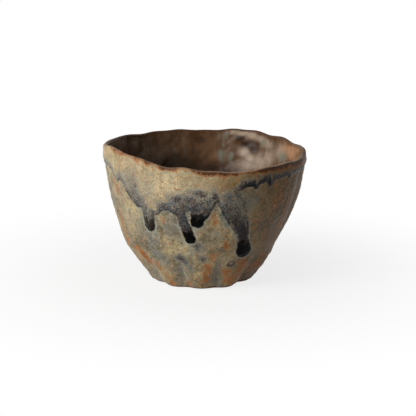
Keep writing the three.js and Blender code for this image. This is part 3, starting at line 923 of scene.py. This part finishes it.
class Surface(Graph):
    """The shader of one material of the cup, with lengths in millimetres."""

    def __init__(self, name, shine):
        super().__init__(bpy.data.materials.new(name))
        self.shader = self.nodes["Principled BSDF"]
        self.shader.inputs["IOR"].default_value = 1.5
        self.shader.inputs["Specular IOR Level"].default_value = shine
        self.place = self.node("TexCoord", {}).outputs["Object"]

    def attribute(self, name):
        return self.node("Attribute", {}, attribute_name=name).outputs["Fac"]

    def moved(self, location, stretch=1):
        """The place of a point, moved so that textures differ, and stretched upwards."""
        values = {"Vector": self.place, "Location": location, "Scale": (1, 1, 1 / stretch)}
        return self.node("Mapping", values).outputs["Vector"]

    def noise(self, size, shift, detail=3, roughness=0.6, stretch=1, warp=0):
        """Noise with features of a size, mostly within -2 to 2; stretch lengthens them upwards."""
        values = {
            "Vector": self.moved((shift, 0.37 * shift, 0.73 * shift), stretch),
            "Scale": 1 / (size * MM),
            "Detail": detail,
            "Roughness": roughness,
            "Distortion": warp,
        }
        raw = self.node("TexNoise", values).outputs["Fac"]
        return self.times(self.math("SUBTRACT", raw, 0.5), 10.0)

    def cells(self, size, shift):
        """Distance to the nearest of points scattered a size apart, as a share of that size."""
        values = {"Vector": self.moved((shift, 0.61 * shift, 0.29 * shift)), "Scale": 1 / (size * MM)}
        return self.node("TexVoronoi", values).outputs["Distance"]

    def lay(self, under, name, value, low, high, share=1.0):
        """Lays a colour of the palette over another where a value passes from low to high."""
        return self.blend(self.times(self.step(value, low, high), share), under, colour(name))

    def speckled(self, under, value, dark, pale):
        """A colour made darker and paler as a value goes from -2 to 2."""
        return self.blend(1.0, under, self.scale(value, -2, 2, dark, pale), "MULTIPLY")

    def finish(self, base, roughness, relief, depth):
        """Sets the colour, the roughness and a bump of a depth, and gives the material."""
        bump = self.node("Bump", {"Distance": depth * MM, "Height": relief})
        self.put(self.shader.inputs["Base Color"], base)
        self.put(self.shader.inputs["Roughness"], roughness)
        self.put(self.shader.inputs["Normal"], bump.outputs["Normal"])
        return self.owner


def inside_colour(s):
    """Brown glaze with grey-green streaks, dark patches with painted shade low on the back, and paler and
    orange runs near the lip with painted highlight, sheen and reflection.
    """
    broad = s.noise(18, shift=9.1, detail=4, stretch=1.5, warp=0.5)
    streak = s.noise(6, shift=10.7, detail=4, stretch=3, warp=0.8)
    small = s.noise(2.6, shift=11.9, stretch=1.3)
    body = s.blend(s.step(broad, -1, 1), colour("inside_brown"), colour("inside_tan"))
    body = s.lay(body, "inside_grey", streak, 0.6, 2, 0.5)
    body = s.lay(body, "inside_dark", streak, -0.6, -2, 0.6)
    wash = s.total(0.0, (streak, 0.08), (small, 0.05))
    # Pale glaze, with the painted highlight, sheen and reflection
    pale = s.total(wash, (s.attribute("pale"), 1))
    body = s.lay(body, "inside_pale", pale, 0, 1.15, 0.95)
    orange = s.total(wash, (s.attribute("orange"), 1))
    body = s.lay(body, "inside_orange", orange, 0, 1.15, 0.9)
    green = s.total(wash, (s.attribute("green"), 1), (small, 0.06))
    body = s.lay(body, "inside_green", green, 0.2, 0.95, 0.75)
    # Darker glaze, with painted shade low on the back of the inside
    dark = s.total(wash, (s.attribute("dark"), 1), (small, 0.05))
    body = s.lay(body, "inside_black", dark, 0.1, 1, 0.92)
    below_lip = s.total(s.attribute("down"), (small, 0.3))
    return s.lay(body, "inside_edge", below_lip, 1.8, 0.6, 0.6)


def ash_glaze(name, shine):
    """The outside: tan ash glaze with rust, greying and blackening where the second coat runs thick."""
    s = Surface(name, shine)
    broad = s.noise(16, shift=1.1, detail=4, stretch=1.1, warp=0.4)
    patch = s.noise(5, shift=2.3, detail=4, warp=0.4)
    streak = s.noise(4, shift=8.8, stretch=3.5, warp=0.4)
    cloud = s.noise(2.6, shift=3.7, detail=5, roughness=0.68, stretch=1.1)
    grain = s.noise(0.8, shift=5.1, detail=2, roughness=0.7)
    dust = s.noise(0.5, shift=23.7, detail=2)
    ash = s.step(s.noise(0.8, shift=17.3, detail=1), 1.0, 2.2)
    spots = s.noise(1.4, shift=19.1, detail=1, roughness=0.5, stretch=1.2)
    mottled = s.total(0.0, (cloud, 0.9), (grain, 0.4))

    # Base coat, second coat, and the rust in both
    tone = s.total(0.0, (broad, 0.6), (patch, 0.4), (mottled, 0.5), (dust, 0.35))
    tan = s.blend(s.step(tone, -1.5, 1.5), colour("tan_dark"), colour("tan_pale"))
    tan = s.lay(tan, "tan_green", s.total(0.0, (streak, 0.7), (cloud, 0.8)), -0.1, 1.8, 0.76)
    tone = s.total(0.0, (broad, 0.6), (mottled, 0.8))
    straw = s.blend(s.step(tone, -1.5, 1.5), colour("straw_dark"), colour("straw_pale"))
    patchy = s.total(patch, (mottled, 0.7))
    straw = s.lay(straw, "straw_rust", patchy, 0.8, 2.4, 0.5)
    straw = s.lay(straw, "straw_grey", patchy, -0.6, -2.2, 0.5)
    # Straw where the second coat lies and over the paler blots, partly painted light
    body = s.blend(s.attribute("dip_and_painted_light"), tan, straw)
    brownness = s.attribute("brown")
    body = s.blend(s.times(brownness, 0.52), body, colour("brown"))
    body = s.lay(body, "amber", s.total(s.attribute("amber"), (mottled, 0.16)), 0.1, 1.1, 0.75)
    body = s.blend(s.times(ash, 0.4), body, colour("ash"))
    rust = s.total(s.attribute("rust"), (mottled, 0.5), (streak, 0.12))
    body = s.lay(body, "rust", rust, 0.3, 0.9, 0.9)
    body = s.lay(body, "rust_dark", rust, 0.9, 1.5, 0.7)
    body = s.lay(body, "spot", spots, 1.35, 2.0, 0.7)

    # Grey, with warm and cool slate, pale and warm dots, and the pale halo beside an edge, which also
    # carries the painted highlight along the pinch groove
    grey = s.attribute("grey")
    shade = s.total(grey, (cloud, 0.11), (dust, 0.2))
    body = s.lay(body, "grey", shade, 0.05, 0.6, 0.66)
    tinge = s.step(s.total(s.noise(3.2, shift=27.1), (dust, 0.6)), -1, 1)
    slate = s.blend(tinge, colour("slate_warm"), colour("slate_cool"))
    body = s.blend(s.times(s.step(shade, 0.38, 0.95), 0.88), body, slate)
    body = s.lay(body, "slate_dark", shade, 0.75, 1.25, 0.9)
    in_grey = s.times(s.step(grey, 0.3, 0.6), s.step(grey, 1.15, 0.95))
    body = s.lay(body, "blush", spots, 1.0, 2.0, s.times(in_grey, 0.5))
    in_grey = s.times(s.step(grey, 0.2, 0.6), s.step(grey, 1.3, 1))
    body = s.blend(s.times(s.times(ash, in_grey), 0.4), body, colour("cream"))
    body = s.lay(body, "halo_and_highlight", s.total(s.attribute("halo_and_highlight"), (mottled, 0.2)), 0.25, 0.9, 0.8)
    body = s.blend(s.times(brownness, 0.22), body, colour("brown_wash"))

    # Black, and the lip
    ink = s.total(s.attribute("ink"), (cloud, 0.08), (dust, 0.15))
    body = s.lay(body, "soot", ink, 0.1, 0.6)
    body = s.lay(body, "black", ink, 0.42, 0.88)
    iron = s.total(s.attribute("iron"), (patch, 0.35), (mottled, 0.5))
    body = s.lay(body, "iron", iron, -0.2, 0.4, 0.8)
    body = s.lay(body, "iron_dark", iron, 0.6, 1.3, 0.9)
    lip = s.attribute("lip")
    body = s.blend(s.step(lip, -0.5, -0.9), body, inside_colour(s))
    # Pale crown of the lip, partly a painted highlight along its top
    crown = s.times(s.step(lip, -1.1, -0.7), s.attribute("pale_lip_and_highlight"))
    body = s.lay(body, "lip_pale_and_highlight", lip, 0.8, 0.3, s.times(crown, 0.85))

    body = s.speckled(body, s.total(0.0, (cloud, 0.3), (grain, 0.4), (dust, 0.5)), 0.78, 1.22)
    pits = s.step(s.cells(6.5, shift=2.2), 0.08, 0.04)
    body = s.blend(s.times(pits, 0.8), body, colour("pit"))
    body = s.lay(body, "glint", s.cells(7.5, shift=7.9), 0.06, 0.03, 0.6)
    roughness = s.total(s.scale(s.step(ink, 0.4, 0.8), 0, 1, 0.5, 0.3), (cloud, 0.03))
    relief = s.total(0.0, (cloud, 0.5), (grain, 0.25), (pits, -2.0))
    return s.finish(body, roughness, relief, depth=0.05)


def liner_glaze():
    """The inside, glossier than the outside."""
    s = Surface("liner_glaze", shine=0.11)
    small = s.noise(2.6, shift=11.9, stretch=1.3)
    grain = s.noise(0.9, shift=12.4, detail=2)
    body = s.speckled(inside_colour(s), grain, 0.92, 1.08)
    return s.finish(body, s.total(0.28, (small, 0.02)), s.total(small, (grain, 0.3)), depth=0.012)


def bare_clay():
    s = Surface("bare_clay", shine=0.1)
    broad = s.noise(9, shift=14.2, detail=4)
    grain = s.noise(0.7, shift=15.5, roughness=0.7)
    body = s.blend(s.step(broad, -1.5, 1.5), colour("clay_dark"), colour("clay_pale"))
    body = s.lay(body, "clay_grain", grain, 0.8, 2.2, 0.6)
    return s.finish(body, 0.85, grain, depth=0.025)


drip_glaze = ash_glaze("drip_glaze", shine=0.03)
make_clay(bare_clay())
make_base_coat(ash_glaze("base_glaze", shine=0.1))
make_dip_coat(ash_glaze("dip_glaze", shine=0.1))
make_lip_coat(ash_glaze("lip_glaze", shine=0.1))
make_liner(liner_glaze())
for one in DRIPS:
    make_drip(one, drip_glaze)


# Studio: pale floor, white surround, a soft key from the left, a low card in front and an even fill
def white_surround(graph):
    """1 for what the camera and reflections see, 0 for the light that falls on things."""
    path = graph.node("LightPath", {}).outputs
    seen = graph.math("MAXIMUM", path["Is Camera Ray"], path["Is Glossy Ray"])
    return graph.math("MAXIMUM", seen, path["Is Transmission Ray"])


def make_world():
    world = bpy.data.worlds.new("studio")
    bpy.context.scene.world = world
    graph = Graph(world)
    light = graph.nodes["Background"]
    graph.put(light.inputs["Color"], (1, 1, 1, 1))
    graph.put(light.inputs["Strength"], graph.scale(white_surround(graph), 0, 1, FILL_LIGHT, 1.0))


def floor_material():
    """A pale floor that the camera sees as white away from the cup's shadow."""
    graph = Graph(bpy.data.materials.new("pale_floor"))
    pale = graph.nodes["Principled BSDF"]
    graph.put(pale.inputs["Base Color"], FLOOR_COLOUR)
    graph.put(pale.inputs["Roughness"], FLOOR_ROUGHNESS)
    white = graph.node("Emission", {})
    place = graph.node("TexCoord", {}).outputs["Object"]
    away = graph.node("VectorMath", {0: place}, operation="LENGTH").outputs["Value"]
    clear = graph.scale(graph.step(away, *SHADOW_FADES), 0, 1, *FLOOR_WHITENESS)
    share = graph.times(white_surround(graph), clear)
    mixed = graph.node("MixShader", {0: share, 1: pale.outputs[0], 2: white.outputs[0]})
    graph.put(graph.nodes["Material Output"].inputs["Surface"], mixed.outputs[0])
    return graph.owner


def make_floor():
    mesh = bpy.data.meshes.new("floor")
    corners = [(FLOOR_REACH * x, FLOOR_REACH * y, 0) for x, y in ((-1, -1), (1, -1), (1, 1), (-1, 1))]
    mesh.from_pydata(corners, [], [(0, 1, 2, 3)])
    mesh.materials.append(floor_material())
    floor = add_object("floor", mesh)
    floor.location.z = -FLOOR_DROP


def make_light(name, place, aim, watts):
    data = bpy.data.lights.new(name, "AREA")
    data.size = LIGHT_SIZE
    data.energy = watts
    light = add_object(name, data)
    light.location = place
    light.rotation_euler = (Vector(aim) - Vector(place)).to_track_quat("-Z", "Y").to_euler()


def make_camera():
    elevation = math.radians(CAMERA_ELEVATION)
    back = Vector((0, -math.cos(elevation), math.sin(elevation)))
    data = bpy.data.cameras.new("camera")
    data.lens = CAMERA_LENS
    data.dof.use_dof = False
    camera = add_object("camera", data)
    camera.location = Vector(CAMERA_AIM) + back * CAMERA_DISTANCE
    camera.rotation_euler = (-back).to_track_quat("-Z", "Y").to_euler()
    bpy.context.scene.camera = camera


make_world()
make_floor()
make_light("key", place=(-0.644, -0.468, 0.46), aim=(0, 0, 0.03), watts=7.85)
make_light("card", place=(-0.2, -0.8, 0.06), aim=(0, 0, 0.02), watts=0.8)
make_camera()
bpy.context.scene.view_settings.view_transform = "Standard"
